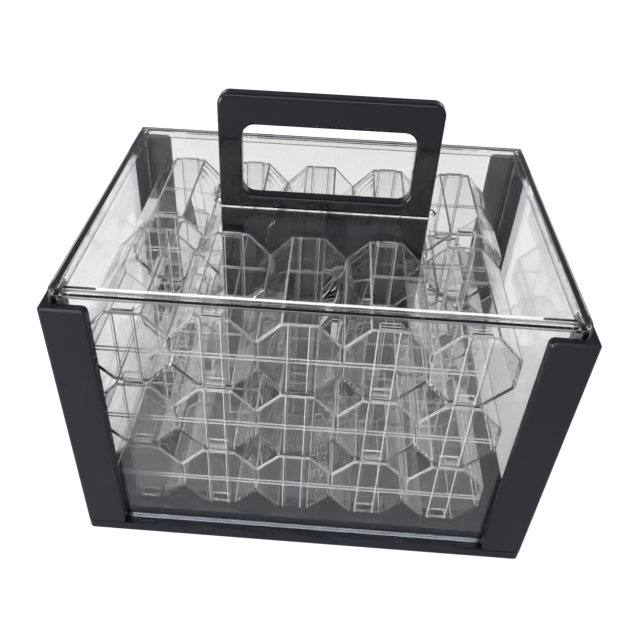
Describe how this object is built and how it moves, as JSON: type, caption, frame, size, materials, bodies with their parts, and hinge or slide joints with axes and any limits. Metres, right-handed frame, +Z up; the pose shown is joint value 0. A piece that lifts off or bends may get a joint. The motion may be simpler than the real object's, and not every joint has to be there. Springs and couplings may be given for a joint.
{
  "type": "poker chip case",
  "caption": "Clear carry case for poker chips: stacked clear racks with octagonal tubes, black base and corner posts, lift-off lid, and a black divider plate that is also the handle.",
  "frame": {"origin": "centre of the footprint, on the surface that the base stands on", "axes": "+X along the long side to the right, +Y from front to back, +Z up"},
  "size_m": [0.248, 0.192, 0.2227],
  "materials": {
    "clear_acrylic": "polished clear",
    "clear_rack": "clear moulded",
    "black_acrylic": "polished",
    "black_plastic": "satin",
    "screw_steel": "blackened"
  },
  "bodies": {
    "case": {"base_plate": "black_acrylic", "floor_plate": "black_acrylic", "front_wall": "clear_acrylic", "back_wall": "clear_acrylic", "left_wall": "clear_acrylic", "right_wall": "clear_acrylic", "corner_post_front_left": "black_plastic", "corner_post_front_right": "black_plastic", "corner_post_back_left": "black_plastic", "corner_post_back_right": "black_plastic", "handle_plate": "black_acrylic", "handle_screws": "screw_steel"},
    "lid": {"case_lid": "clear_acrylic"},
    "tray_front_1": {"rack_tray_front_1": "clear_rack"},
    "cover_front_1": {"rack_cover_front_1": "clear_rack"},
    "tray_front_2": {"rack_tray_front_2": "clear_rack"},
    "cover_front_2": {"rack_cover_front_2": "clear_rack"},
    "tray_front_3": {"rack_tray_front_3": "clear_rack"},
    "cover_front_3": {"rack_cover_front_3": "clear_rack"},
    "tray_back_1": {"rack_tray_back_1": "clear_rack"},
    "cover_back_1": {"rack_cover_back_1": "clear_rack"},
    "tray_back_2": {"rack_tray_back_2": "clear_rack"},
    "cover_back_2": {"rack_cover_back_2": "clear_rack"},
    "tray_back_3": {"rack_tray_back_3": "clear_rack"},
    "cover_back_3": {"rack_cover_back_3": "clear_rack"}
  },
  "joints": [
    {"name": "tray_front_1_lift", "type": "slide", "parent": "case", "child": "tray_front_1", "axis": [0, 0, 1], "range_m": [0, 0.15]},
    {"name": "cover_front_1_lift", "type": "slide", "parent": "tray_front_1", "child": "cover_front_1", "axis": [0, 0, 1], "range_m": [0, 0.03]},
    {"name": "tray_front_2_lift", "type": "slide", "parent": "cover_front_1", "child": "tray_front_2", "axis": [0, 0, 1], "range_m": [0, 0.105]},
    {"name": "cover_front_2_lift", "type": "slide", "parent": "tray_front_2", "child": "cover_front_2", "axis": [0, 0, 1], "range_m": [0, 0.03]},
    {"name": "tray_front_3_lift", "type": "slide", "parent": "cover_front_2", "child": "tray_front_3", "axis": [0, 0, 1], "range_m": [0, 0.06]},
    {"name": "cover_front_3_lift", "type": "slide", "parent": "tray_front_3", "child": "cover_front_3", "axis": [0, 0, 1], "range_m": [0, 0.03]},
    {"name": "tray_back_1_lift", "type": "slide", "parent": "case", "child": "tray_back_1", "axis": [0, 0, 1], "range_m": [0, 0.15]},
    {"name": "cover_back_1_lift", "type": "slide", "parent": "tray_back_1", "child": "cover_back_1", "axis": [0, 0, 1], "range_m": [0, 0.03]},
    {"name": "tray_back_2_lift", "type": "slide", "parent": "cover_back_1", "child": "tray_back_2", "axis": [0, 0, 1], "range_m": [0, 0.105]},
    {"name": "cover_back_2_lift", "type": "slide", "parent": "tray_back_2", "child": "cover_back_2", "axis": [0, 0, 1], "range_m": [0, 0.03]},
    {"name": "tray_back_3_lift", "type": "slide", "parent": "cover_back_2", "child": "tray_back_3", "axis": [0, 0, 1], "range_m": [0, 0.06]},
    {"name": "cover_back_3_lift", "type": "slide", "parent": "tray_back_3", "child": "cover_back_3", "axis": [0, 0, 1], "range_m": [0, 0.03]},
    {"name": "lid_lift", "type": "slide", "parent": "cover_front_3", "child": "lid", "axis": [0, 0, 1], "range_m": [0, 0.075]}
  ],
  "couplings": [
    {"joint": "tray_back_1_lift", "follows": "tray_front_1_lift", "ratio": 1},
    {"joint": "cover_back_1_lift", "follows": "cover_front_1_lift", "ratio": 1},
    {"joint": "tray_back_2_lift", "follows": "tray_front_2_lift", "ratio": 1},
    {"joint": "cover_back_2_lift", "follows": "cover_front_2_lift", "ratio": 1},
    {"joint": "tray_back_3_lift", "follows": "tray_front_3_lift", "ratio": 1},
    {"joint": "cover_back_3_lift", "follows": "cover_front_3_lift", "ratio": 1}
  ]
}
